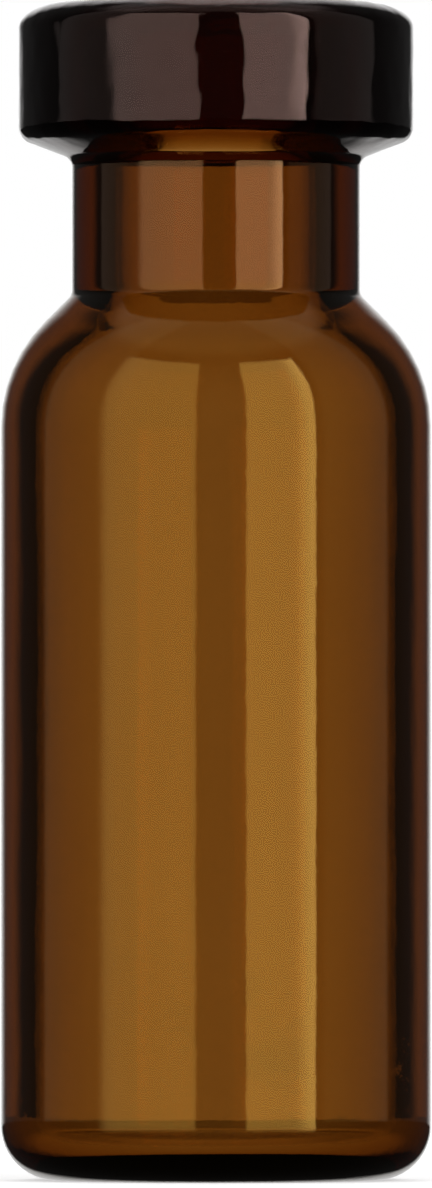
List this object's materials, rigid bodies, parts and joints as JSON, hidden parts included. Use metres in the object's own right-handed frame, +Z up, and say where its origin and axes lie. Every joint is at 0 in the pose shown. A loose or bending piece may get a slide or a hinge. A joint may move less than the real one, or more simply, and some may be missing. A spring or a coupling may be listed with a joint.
{
  "type": "glass sample vial",
  "caption": "Small amber glass sample vial with a round shoulder, a narrow open neck and a thick flanged lip that a crimp cap is rolled over.",
  "frame": {"origin": "centre of the foot, in the plane that the vial stands on", "axes": "+Z up along the vial's axis, from the foot to the mouth; the vial is round, so X and Y are alike"},
  "size_m": [0.0116, 0.0116, 0.032],
  "materials": {
    "amber_glass": "clear fire-polished amber borosilicate glass"
  },
  "bodies": {
    "root": {"vial": "amber_glass"}
  },
  "joints": []
}
